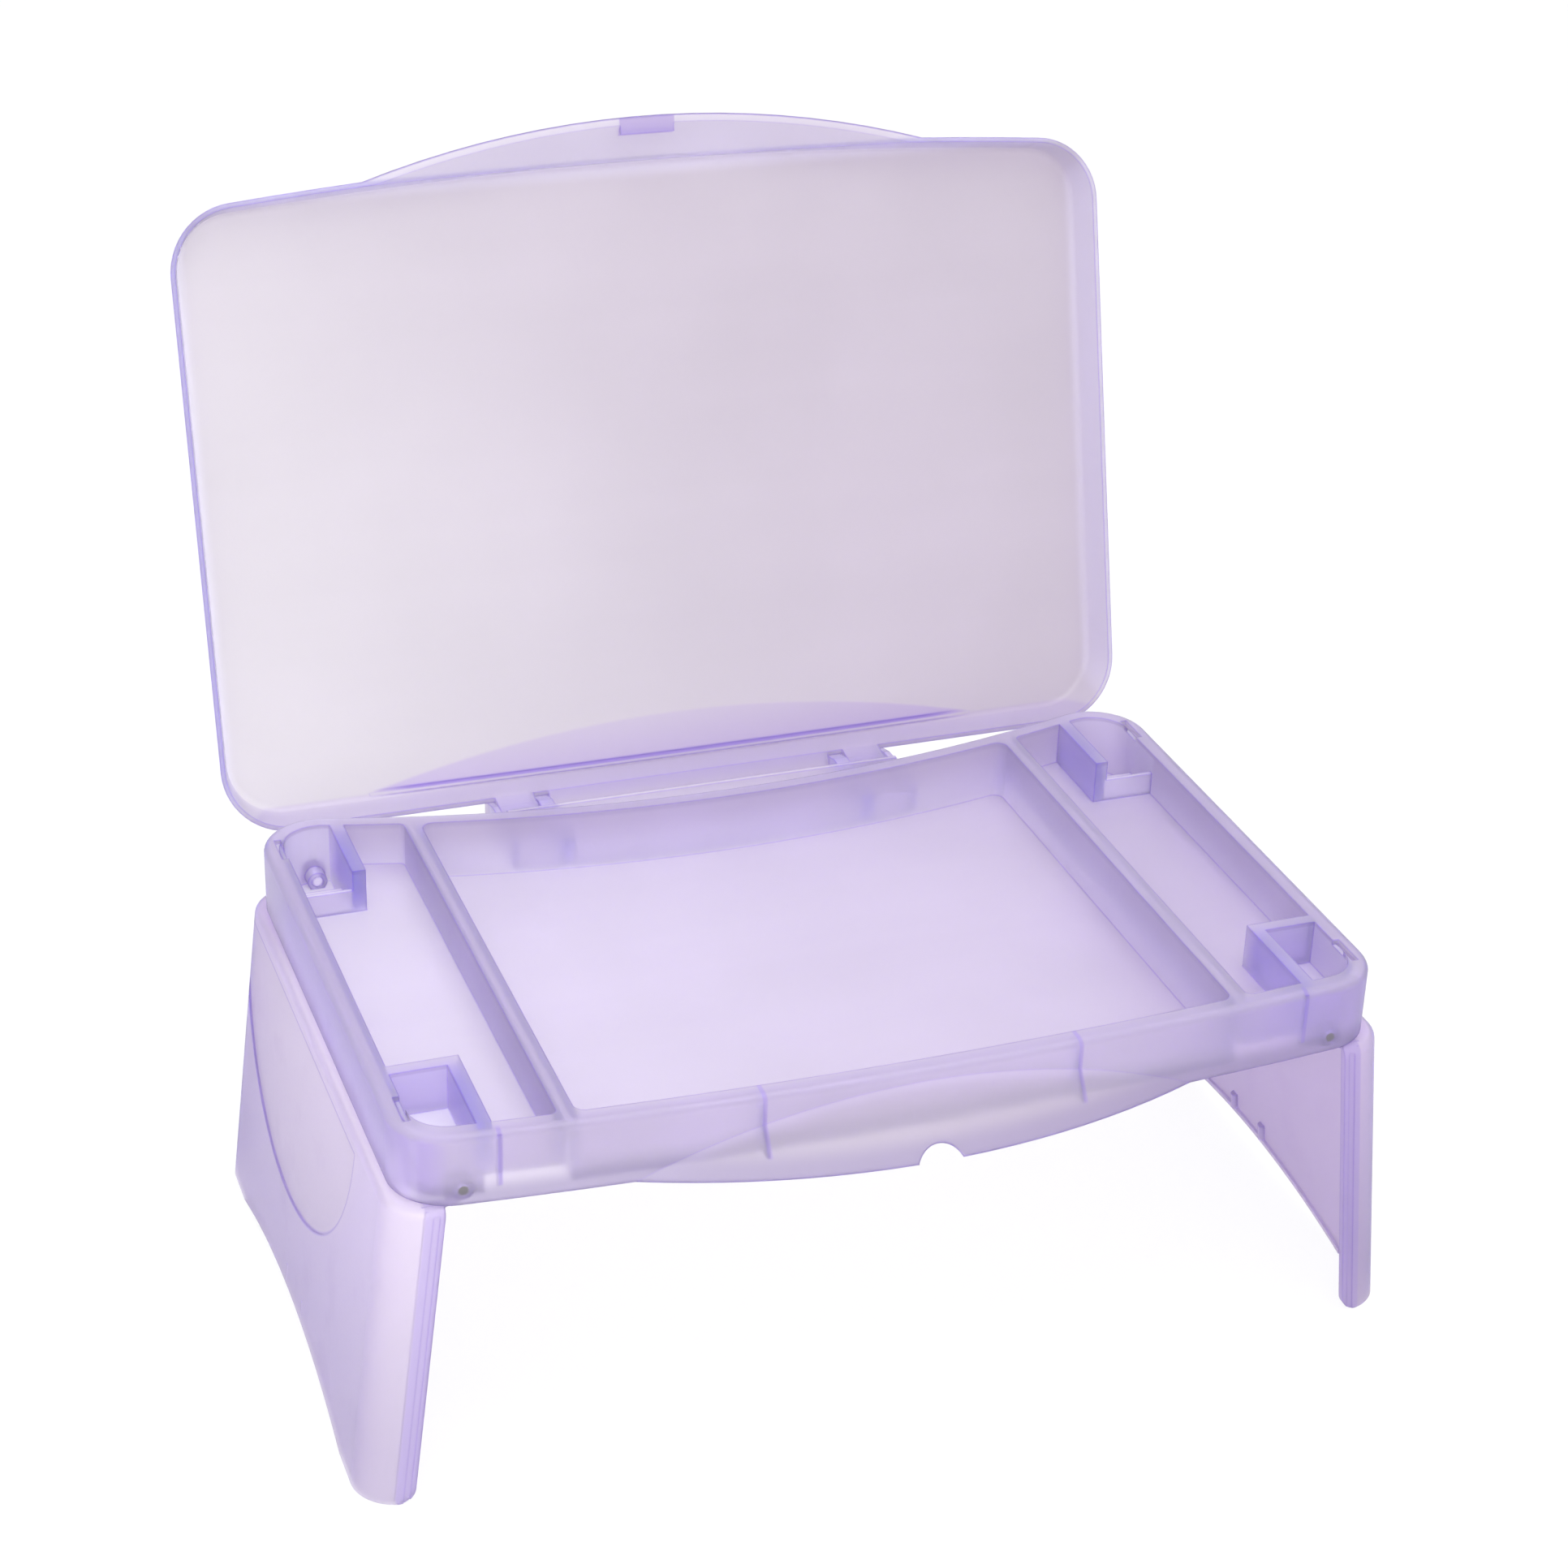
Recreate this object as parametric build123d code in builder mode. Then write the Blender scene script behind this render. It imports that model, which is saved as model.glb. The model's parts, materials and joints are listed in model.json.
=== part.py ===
from build123d import *
import os
from math import atan2, copysign, cos, radians, sin, tan

os.makedirs("parts", exist_ok=True)

# Lap desk: a shallow tray with a lift-up lid on the back edge and two legs that fold under it.
# X is the width, Y runs from the user to the back, Z is up.
# The origin is on the floor, under the middle of the object with its lid open.

# General sizes
wall = 2.2
running_clearance = 0.08
side_clearance = 0.4
rim_height = 177.0

# Tray plan
tray_width = 439.0
tray_depth = 257.0
front_bow = 11.5
back_bow = 36.5
tray_corner = 26.0
rim_width = 9.0
rim_round = 3.5
skirt_depth = 32.0

# Compartments
main_width = 292.0
main_depth = 29.0
main_corner = 5.0
divider_width = 7.5
pen_depth = 21.0
pen_corner = 3.0
well_width = 24.3
well_wall_width = 6.2
front_well_length = 59.0
rear_well_length = 47.0
rear_well_step = 10.0
deep_well_length = 24.0
deep_well_depth = 29.6
snap_slot_length = 18.0
snap_slot_width = 3.0
snap_slot_setback = 27.0

# Front apron, which bulges forward towards its lower edge
apron_half_width = 124.0
apron_reach = 19.5
apron_rise = 27.0
notch_radius = 11.0
notch_height = 6.0
rib_thickness = 1.6
rib_reach = 1.6
apron_rib_x = 70.0
side_rib_inset = 40.5
rib_length = 24.0

# Lid hinge
lid_axis_setback = 42.75
lid_axis_drop = 23.0
lid_lean = 14.8
lid_pin_radius = 2.0
barrel_radius = 5.0
inner_ear_start = 72.0
inner_ear_width = 7.0
outer_ear_start = 98.6
outer_ear_width = 3.0
ear_tail = 14.0
ear_tail_thickness = 6.0
pin_overhang = 1.2
housing_depth = 26.0
housing_drop = 12.0

# Lid
lid_lip_setback = 5.75
lid_lip_rise = 6.0
lid_side_overhang = 8.0
lid_front_overhang = 6.5
lid_bow = 11.5
lid_corner = 32.0
lid_draft = 12.0
lid_round = 5.0
hinge_tab_length = 8.0
hinge_strip_drop = 5.0
hinge_strip_rise = 2.2
visor_half_width = 137.0
visor_overhang = 3.0
catch_width = 26.0
catch_length = 7.0
catch_thickness = 2.0
groove_half_width = 155.0
groove_setback = 9.0
groove_width = 20.0
groove_depth = 3.2

# Legs
leg_axis_inset = 25.8
leg_axis_drop = 26.0
leg_splay = 6.4
leg_face_offset = 29.1
leg_front_setback = 8.4
leg_rear_gap = 1.3
leg_corner = 20.0
leg_shoulder = 5.0
leg_shoulder_width = 8.0
leg_gap = 0.6
leg_arch = 12.0
leg_foot_length = 40.0
leg_flange_round = 8.0
bead_width = 7.8
bead_depth = 1.4
bead_groove_setback = 2.2
bead_groove_width = 2.7
bead_groove_depth = 0.5
arch_bead_width = 2.5
arch_bead_depth = 1.2
grip_positions = (119.8, 148.7)
grip_radius = 2.4
grip_low = 10.0
grip_height = 8.0
recess_half_length = 104.0
recess_height = 84.0
recess_drop = 8.0
recess_setback = 164.0
recess_depth = 0.9
lug_radius = 6.0
lug_thickness = 2.0
leg_pin_radius = 2.5
front_lug_setback = 13.8
rear_lug_gap = 5.5
lug_foot = 9.0
pin_chamfer = 0.4
pin_boss_radius = 4.6
pin_boss_length = 8.0
pin_seat = 2.0

# Heights
rim_z = rim_height
skirt_z = rim_z - skirt_depth
leg_axis_z = rim_z - leg_axis_drop
lid_axis_z = rim_z - lid_axis_drop

# Places along Y, measured back from the middle of the rim's front edge
lean = radians(lid_lean)
lid_height = lid_axis_drop - lid_lip_rise + side_clearance
lid_lip_back = lid_axis_setback + tray_depth - lid_lip_setback
lid_depth = lid_lip_back + lid_front_overhang
visor_reach = apron_reach + visor_overhang - lid_front_overhang
hinge_edge_back = lid_lip_rise * cos(lean) + lid_lip_setback * sin(lean)
hinge_edge_rise = lid_lip_setback * cos(lean) - lid_lip_rise * sin(lean)
lid_back_reach = (
    tray_depth + lid_axis_setback + hinge_edge_back
    + (lid_depth - lid_round) * sin(lean) + (lid_height + wall) * cos(lean)
)
front_y = -(lid_back_reach - apron_reach) / 2
back_y = front_y + tray_depth
lid_axis_y = back_y + lid_axis_setback
hinge_edge_y = lid_axis_y + hinge_edge_back
hinge_edge_z = lid_axis_z + hinge_edge_rise
tray_half = tray_width / 2
corner_front_y = front_y + front_bow
corner_back_y = back_y + back_bow
main_half = main_width / 2
pen_inner = main_half + divider_width
pen_outer = tray_half - rim_width
well_inner = pen_outer - well_width
side_rib_x = tray_half - side_rib_inset
leg_axis_x = tray_half - leg_axis_inset
far = tray_width


def front_line(x):
    """Y of the tray's front face at x."""
    return front_y + front_bow * (x / tray_half) ** 2


def back_line(x):
    """Y of the tray's back face at x."""
    return back_y + back_bow * (x / tray_half) ** 2


back_slope = atan2(2 * back_bow * leg_axis_x, tray_half**2)
corner_peak_y = back_line(leg_axis_x - tray_corner * sin(back_slope)) + tray_corner * (1 - cos(back_slope))
leg_front_y = front_y + leg_front_setback
leg_rear_y = corner_peak_y - leg_rear_gap
front_lug_y = front_y + front_lug_setback
rear_lug_y = corner_peak_y - rear_lug_gap


def tray_plan(inset):
    """Plan of the tray, drawn in by the inset."""
    with BuildSketch() as plan:
        with BuildLine():
            ThreePointArc((-tray_half, corner_front_y), (0, front_y), (tray_half, corner_front_y))
            Line((tray_half, corner_front_y), (tray_half, corner_back_y))
            ThreePointArc((tray_half, corner_back_y), (0, back_y), (-tray_half, corner_back_y))
            Line((-tray_half, corner_back_y), (-tray_half, corner_front_y))
        make_face()
        fillet(plan.vertices(), radius=tray_corner)
        if inset > 0:
            offset(amount=-inset, kind=Kind.ARC)
    return plan.sketch


def leaning_arc(plane, half_width, edge, crown, base, shift, rise):
    """Solid between a base line and an arc on the plane, leaning by the shift over the rise."""
    with BuildPart() as form:
        with BuildSketch(plane):
            with BuildLine():
                ThreePointArc((-half_width, edge), (0, crown), (half_width, edge))
                Polyline((half_width, edge), (half_width, base), (-half_width, base), (-half_width, edge))
            make_face()
        direction = plane.y_dir * shift + plane.z_dir * rise
        extrude(amount=direction.length, dir=direction)
    return form.part


def strip(x_low, x_high, y_low=-far, y_high=far):
    """Rectangle between two X and two Y values, for the sketch in hand."""
    with Locations(((x_low + x_high) / 2, (y_low + y_high) / 2)):
        Rectangle(x_high - x_low, y_high - y_low, mode=Mode.INTERSECT)


def chamber(inset, x_low, x_high, depth, top, corner):
    """Solid under the rim between two X values, as deep as a compartment."""
    with BuildPart() as form:
        with BuildSketch(Plane.XY.offset(rim_z - depth)):
            add(tray_plan(inset))
            strip(x_low, x_high)
        extrude(amount=depth + top)
        if corner > 0:
            upright = form.edges().filter_by(Axis.Z)
            fillet(upright.filter_by(lambda e: abs(e.center().X) < pen_outer - corner), radius=corner)
    return form.part


def well_block(inset, margin, y_low, y_high, depth, top):
    """Solid of a hinge well on the right, between two Y values."""
    with BuildPart() as form:
        with BuildSketch(Plane.XY.offset(rim_z - depth)):
            add(tray_plan(inset))
            strip(well_inner - margin, tray_half, y_low, y_high)
        extrude(amount=depth + top)
    return form.part


# Outer form of the apron and the hollow behind it
apron_lean = atan2(apron_reach, apron_rise)
apron_edge_y = front_line(apron_half_width)
apron_form = leaning_arc(
    Plane.XY.offset(skirt_z), apron_half_width, apron_edge_y, front_y - apron_reach,
    corner_front_y + rim_width, apron_reach, apron_rise,
)
apron_hollow = leaning_arc(
    Plane.XY.offset(skirt_z), apron_half_width, apron_edge_y + wall / cos(apron_lean),
    front_y - apron_reach + wall / cos(apron_lean), corner_front_y + rim_width, apron_reach, apron_rise,
)

with BuildPart() as apron_ribs:
    with BuildSketch(Plane.XY.offset(rim_z - wall - rib_length)):
        with Locations((-apron_rib_x, apron_edge_y), (apron_rib_x, apron_edge_y)):
            Rectangle(rib_thickness, 2 * apron_reach)
    extrude(amount=apron_rise + rib_length - skirt_depth + wall)
    add(apron_form, mode=Mode.INTERSECT)

# Compartments: their outer walls, then their hollows
compartment_walls = [
    chamber(rim_width - wall, -main_half - wall, main_half + wall, main_depth + wall, -wall / 2, 0),
]
compartment_hollows = [chamber(rim_width, -main_half, main_half, main_depth, wall, main_corner)]
front_well_end = front_y + rim_width + front_well_length
rear_well_start = corner_peak_y - rim_width - rear_well_length
pen_region = chamber(rim_width, pen_inner, tray_half, pen_depth, wall, pen_corner)
with BuildPart() as pen_hollow:
    add(pen_region)
    add(well_block(0, well_wall_width, -far, front_well_end, pen_depth, wall), mode=Mode.SUBTRACT)
    with BuildSketch(Plane.XY.offset(rim_z - pen_depth)):
        with Locations((well_inner - well_wall_width / 2, (rear_well_start + corner_back_y) / 2)):
            Rectangle(well_wall_width, corner_back_y - rear_well_start)
    extrude(amount=pen_depth + wall, mode=Mode.SUBTRACT)
    add(well_block(0, 0, rear_well_start, far, pen_depth, -rear_well_step), mode=Mode.SUBTRACT)
with BuildPart() as well_hollow:
    add(well_block(rim_width, 0, -far, front_well_end - well_wall_width, pen_depth, wall))
    add(well_block(rim_width, 0, -far, front_y + rim_width + deep_well_length, deep_well_depth, wall))
    add(well_block(rim_width, 0, rear_well_start + wall, far, pen_depth, wall))
    add(well_block(rim_width, 0, corner_peak_y - rim_width - deep_well_length, far, deep_well_depth, wall))
right_walls = [
    chamber(rim_width - wall, pen_inner - wall, tray_half, pen_depth + wall, -wall / 2, 0),
    well_block(rim_width - wall, wall, -far, front_y + rim_width + deep_well_length + wall,
               deep_well_depth + wall, -wall / 2),
    well_block(rim_width - wall, wall, corner_peak_y - rim_width - deep_well_length - wall, far,
               deep_well_depth + wall, -wall / 2),
]
for shape in right_walls:
    compartment_walls += [shape, mirror(shape, about=Plane.YZ)]
for shape in (pen_hollow.part, well_hollow.part):
    compartment_hollows += [shape, mirror(shape, about=Plane.YZ)]

with BuildPart() as tray:
    with BuildSketch(Plane.XY.offset(skirt_z)):
        add(tray_plan(0))
    extrude(amount=skirt_depth)
    fillet(tray.edges().group_by(Axis.Z)[-1], radius=rim_round)
    add(apron_form)
    with BuildSketch(Plane.XY.offset(skirt_z)):
        add(tray_plan(wall))
    extrude(amount=skirt_depth - wall, mode=Mode.SUBTRACT)
    add(apron_hollow, mode=Mode.SUBTRACT)

    # Ribs inside the front skirt and across the hollow of the apron
    for rib_x in (-side_rib_x, side_rib_x):
        with BuildSketch(Plane.XY.offset(rim_z - wall - rib_length)):
            with Locations((rib_x, front_line(rib_x) + wall)):
                Rectangle(rib_thickness, 2 * rib_reach)
        extrude(amount=rib_length + wall / 2)
    add(apron_ribs.part)

    for shape in compartment_walls:
        add(shape)
    for shape in compartment_hollows:
        add(shape, mode=Mode.SUBTRACT)

    # Slots in the rim beside the wells
    for slot_y in (front_y + rim_width + snap_slot_setback, corner_peak_y - snap_slot_setback):
        with BuildSketch(Plane.XY.offset(rim_z - wall)):
            with Locations((-pen_outer - snap_slot_width / 2, slot_y), (pen_outer + snap_slot_width / 2, slot_y)):
                Rectangle(snap_slot_width, snap_slot_length)
        extrude(amount=2 * wall, mode=Mode.SUBTRACT)

    # Half-round notch in the apron's lower edge
    with BuildSketch(Plane.XZ.offset(-front_y)):
        with Locations((0, skirt_z + notch_height - notch_radius)):
            Circle(notch_radius)
    extrude(amount=2 * apron_reach, mode=Mode.SUBTRACT)

    # Hinge housing behind the back skirt: its floor, its rear wall and the four ears
    housing_back = back_y + housing_depth
    with BuildSketch(Plane.XY.offset(skirt_z)):
        with Locations((0, (back_y + housing_back) / 2)):
            Rectangle(2 * outer_ear_start, housing_depth + 2 * wall)
        add(tray_plan(wall / 2), mode=Mode.SUBTRACT)
    extrude(amount=wall)
    with BuildSketch(Plane.XY.offset(skirt_z)):
        with Locations((0, housing_back + wall / 2)):
            Rectangle(2 * outer_ear_start, wall)
    extrude(amount=skirt_depth - housing_drop)
    ear_top = lid_axis_z + lid_lip_rise - side_clearance
    tail_y = lid_axis_y + ear_tail
    stop_z = hinge_edge_z - side_clearance / cos(lean)
    tail_top = stop_z - (tail_y - hinge_edge_y) * tan(lean)
    for ear_x, ear_width in ((inner_ear_start, inner_ear_width), (outer_ear_start, outer_ear_width)):
        for ear_start in (ear_x, -ear_x - ear_width):
            with BuildSketch(Plane.YZ.offset(ear_start)):
                with BuildLine():
                    Polyline(
                        (back_line(ear_x) - wall / 2, skirt_z),
                        (lid_axis_y - barrel_radius, skirt_z),
                        (tail_y, tail_top - ear_tail_thickness),
                        (tail_y, tail_top),
                        (hinge_edge_y, stop_z),
                        (lid_axis_y, ear_top),
                        (back_line(ear_x) - wall / 2, ear_top),
                        close=True,
                    )
                make_face()
            extrude(amount=ear_width)

    # Seats for the hinge pins
    pin_reach = outer_ear_start + outer_ear_width + pin_overhang
    lid_pin_length = pin_reach - inner_ear_start + pin_overhang
    with BuildSketch(Plane.YZ.offset(-pin_reach)):
        with Locations((lid_axis_y, lid_axis_z)):
            Circle(lid_pin_radius)
    extrude(amount=2 * pin_reach, mode=Mode.SUBTRACT)
    front_seat_y = front_lug_y - lug_thickness / 2 - side_clearance
    rear_seat_y = rear_lug_y + lug_thickness / 2 + side_clearance
    front_inner_y = front_line(leg_axis_x) + rim_width - wall
    rear_inner_y = corner_peak_y - rim_width + wall
    front_pin_y = front_seat_y - pin_seat
    front_pin_end = front_inner_y + wall / 2 + pin_boss_length
    rear_pin_y = rear_inner_y - wall / 2 - pin_boss_length
    rear_pin_end = rear_seat_y + pin_seat
    for side in (-1, 1):
        with BuildSketch(Plane.XZ.offset(-front_seat_y)):
            with Locations((side * leg_axis_x, leg_axis_z)):
                Circle(pin_boss_radius)
        extrude(amount=front_seat_y - front_line(leg_axis_x) - wall / 2)
        with BuildSketch(Plane.XZ.offset(-front_inner_y - wall / 2)):
            with Locations((side * leg_axis_x, leg_axis_z)):
                Circle(pin_boss_radius)
        extrude(amount=-pin_boss_length)
        with BuildSketch(Plane.XZ.offset(-rear_seat_y)):
            with Locations((side * leg_axis_x, leg_axis_z)):
                Circle(pin_boss_radius)
        extrude(amount=rear_seat_y - corner_peak_y + wall / 2)
        with BuildSketch(Plane.XZ.offset(-rear_inner_y + wall / 2)):
            with Locations((side * leg_axis_x, leg_axis_z)):
                Circle(pin_boss_radius)
        extrude(amount=pin_boss_length)
        for seat_y, seat_end in ((front_pin_y, front_pin_end), (rear_pin_y, rear_pin_end)):
            with BuildSketch(Plane.XZ.offset(-seat_end)):
                with Locations((side * leg_axis_x, leg_axis_z)):
                    Circle(leg_pin_radius)
            extrude(amount=seat_end - seat_y, mode=Mode.SUBTRACT)
tray.part.label = "tray"
export_step(tray.part, "parts/tray.step")

# Plane of the lid's lip in the open pose: X across, Y from the hinge edge to the visor, Z to the tray
lid_plane = Plane(origin=(0, hinge_edge_y, hinge_edge_z), x_dir=(1, 0, 0), z_dir=(0, -cos(lean), sin(lean)))
lid_face = Axis(lid_plane.origin, lid_plane.z_dir)
lid_half = tray_half + lid_side_overhang
lid_corner_depth = lid_depth - lid_bow
draft_slope = tan(radians(lid_draft))


def lid_plan(inset):
    """Plan of the lid's lip, drawn in by the inset."""
    with BuildSketch() as plan:
        with BuildLine():
            Polyline((-lid_half, lid_corner_depth), (-lid_half, 0), (lid_half, 0), (lid_half, lid_corner_depth))
            ThreePointArc((lid_half, lid_corner_depth), (0, lid_depth), (-lid_half, lid_corner_depth))
        make_face()
        fillet(plan.vertices(), radius=lid_corner)
        if inset > 0:
            offset(amount=-inset, kind=Kind.ARC)
    return plan.sketch


def crescent(plane, near):
    """Wedge on a plane of the lid, from an arc at its surface down to a step at the near line."""
    reach = groove_setback + groove_width - near
    drop = groove_depth * reach / groove_width
    with BuildPart() as form:
        add(leaning_arc(
            plane, groove_half_width, groove_setback, groove_setback + groove_width, near - reach, -reach, drop,
        ))
        with BuildSketch(plane):
            with Locations((0, near + reach)):
                Rectangle(2 * groove_half_width, 2 * reach)
        extrude(amount=drop, mode=Mode.INTERSECT)
    return form.part


# Visor: the lid's bulge over the apron, and the hollow behind it
visor_rise = lid_height + wall - lid_round
visor_shift = visor_reach + visor_rise * draft_slope
visor_wall = wall / cos(atan2(visor_shift, visor_rise))
visor_crown = lid_depth + visor_reach
visor_edge = lid_depth - lid_bow * (visor_half_width / lid_half) ** 2
visor_base = lid_corner_depth - visor_shift
visor_form = leaning_arc(
    lid_plane, visor_half_width, visor_edge, visor_crown, visor_base, -visor_shift, -visor_rise,
)
visor_hollow = leaning_arc(
    lid_plane, visor_half_width, visor_edge - visor_wall, visor_crown - visor_wall, visor_base,
    -visor_shift * lid_height / visor_rise, -lid_height,
)
with BuildPart() as lid_hollow:
    with BuildSketch(lid_plane):
        add(lid_plan(wall))
    extrude(amount=-lid_height, taper=lid_draft)
    fillet(lid_hollow.edges().group_by(lid_face)[0], radius=lid_round - wall)

barrel_start = inner_ear_start + inner_ear_width + side_clearance
barrel_length = outer_ear_start - side_clearance - barrel_start
with BuildPart() as lid:
    with BuildSketch(lid_plane):
        add(lid_plan(0))
    extrude(amount=-lid_height - wall, taper=lid_draft)
    fillet(lid.edges().group_by(lid_face)[0], radius=lid_round)
    add(visor_form)
    add(lid_hollow.part, mode=Mode.SUBTRACT)
    add(visor_hollow, mode=Mode.SUBTRACT)

    # Pencil groove along the hinge edge, and its bulge under the panel
    add(crescent(lid_plane.offset(-lid_height), groove_setback - wall))
    add(crescent(lid_plane.offset(-lid_height - wall), groove_setback), mode=Mode.SUBTRACT)

    # Catch on the visor's lip
    with BuildSketch(lid_plane):
        with Locations((0, visor_crown - (wall + catch_length) / 2)):
            Rectangle(catch_width, catch_length)
    extrude(amount=-catch_thickness)

    # Hinge barrels
    for start in (barrel_start, -barrel_start - barrel_length):
        section = Plane(origin=(start, hinge_edge_y, hinge_edge_z), x_dir=lid_plane.y_dir, z_dir=(1, 0, 0))
        slant = barrel_radius * cos(radians(45))
        with BuildSketch(section):
            with Locations((-lid_lip_setback, lid_lip_rise)):
                Circle(barrel_radius)
            with BuildLine():
                Polyline(
                    (slant - lid_lip_setback, lid_lip_rise + slant),
                    (wall, 0),
                    (wall, -hinge_tab_length),
                    (-slant - lid_lip_setback, lid_lip_rise - slant),
                    close=True,
                )
            make_face()
        extrude(amount=barrel_length)
        with BuildSketch(section):
            with Locations((-lid_lip_setback, lid_lip_rise)):
                Circle(lid_pin_radius + running_clearance)
        extrude(amount=barrel_length, mode=Mode.SUBTRACT)

    # Strip along the hinge edge between the inner ears
    strip_half = inner_ear_start - side_clearance
    strip_section = Plane(origin=(-strip_half, hinge_edge_y, hinge_edge_z), x_dir=lid_plane.y_dir, z_dir=(1, 0, 0))
    with BuildSketch(strip_section):
        with BuildLine():
            Polyline(
                (wall, 0),
                (wall, -hinge_tab_length),
                (0, -hinge_tab_length),
                (-hinge_strip_drop, hinge_strip_rise - wall),
                (-hinge_strip_drop, hinge_strip_rise),
                close=True,
            )
        make_face()
    extrude(amount=2 * strip_half)
lid.part.label = "lid"
export_step(lid.part, "parts/lid.step")

# Legs: each is a side wall with a flange at its front and rear, splayed outwards and cut flat at the floor
splay = radians(leg_splay)
leg_plane = Plane(
    origin=(-leg_axis_x, 0, leg_axis_z), x_dir=(cos(splay), 0, -sin(splay)), z_dir=(sin(splay), 0, cos(splay)),
)
leg_top_z = skirt_z - leg_gap
leg_flange = leg_face_offset - (leg_axis_z - leg_top_z)
leg_length = leg_rear_y - leg_front_y
leg_middle_y = (leg_front_y + leg_rear_y) / 2
arch_half = leg_length / 2 - leg_foot_length


def leg_x(offset, z):
    """X at a height on the left leg's upright plane that lies this far from its axis."""
    return offset / cos(splay) - leg_axis_x + (z - leg_axis_z) * tan(splay)


def leg_rise(offset, z):
    """Distance along the left leg, up from its axis, of a height on the upright plane at this offset."""
    return (z - leg_axis_z + offset * sin(splay)) / cos(splay)


def leg_channel(inset, low, high):
    """Channel of the left leg between two heights, drawn in by the inset."""
    with BuildPart() as form:
        with BuildSketch(leg_plane.offset(-2 * leg_axis_z)) as plan:
            with Locations((leg_flange - leg_face_offset, leg_middle_y)):
                Rectangle(2 * leg_flange, leg_length)
            fillet(plan.vertices(), radius=leg_corner)
            if inset > 0:
                offset(amount=-inset, kind=Kind.ARC)
            with Locations((leg_flange / 2 - leg_face_offset, leg_middle_y)):
                Rectangle(leg_flange, leg_length, mode=Mode.INTERSECT)
        extrude(amount=4 * leg_axis_z)
        with BuildSketch(Plane.XY.offset(low)):
            with Locations((-tray_half, leg_middle_y)):
                Rectangle(tray_width, 2 * leg_length)
        extrude(amount=high - low, mode=Mode.INTERSECT)
    return form.part


def arch_band(width, amount):
    """Solid under an arc that spans the gap between the feet, raised by the width, through the left leg."""
    with BuildPart() as form:
        with BuildSketch(Plane.YZ):
            with BuildLine():
                ThreePointArc(
                    (leg_middle_y - arch_half, width),
                    (leg_middle_y, leg_arch + width),
                    (leg_middle_y + arch_half, width),
                )
                Polyline(
                    (leg_middle_y + arch_half, width),
                    (leg_middle_y + arch_half, -wall),
                    (leg_middle_y - arch_half, -wall),
                    (leg_middle_y - arch_half, width),
                )
            make_face()
        extrude(amount=amount)
    return form.part


# Thicker inner edges of the front and rear flanges, and of the arch
leg_high = 4 * leg_axis_z
flange_end = leg_flange - leg_face_offset
leg_sides = (leg_front_y, leg_rear_y)
with BuildPart() as leg_beads:
    with BuildSketch(leg_plane.offset(-leg_high / 2)):
        for side_y in leg_sides:
            bead_y = side_y + copysign(wall + bead_depth / 2, leg_middle_y - side_y)
            with Locations((flange_end - bead_width / 2, bead_y)):
                Rectangle(bead_width, bead_depth)
    extrude(amount=leg_high)
    add(leg_channel(0, 0, leg_top_z - wall / 2), mode=Mode.INTERSECT)
with BuildPart() as arch_bead:
    add(leg_channel(wall / 2, 0, leg_arch + 2 * arch_bead_width))
    add(leg_channel(wall + arch_bead_depth, -wall, leg_arch + 3 * arch_bead_width), mode=Mode.SUBTRACT)
    add(arch_band(arch_bead_width, -tray_width), mode=Mode.INTERSECT)
with BuildPart() as bead_grooves:
    with BuildSketch(leg_plane.offset(-leg_high / 2)):
        for side_y in leg_sides:
            with Locations((flange_end - bead_groove_setback - bead_groove_width / 2, side_y)):
                Rectangle(bead_groove_width, 2 * bead_groove_depth)
    extrude(amount=leg_high)
    with BuildSketch(Plane.XY.offset(-wall)):
        with Locations((-tray_half, leg_middle_y)):
            Rectangle(tray_width, 2 * leg_length)
    extrude(amount=leg_top_z, mode=Mode.INTERSECT)

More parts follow.
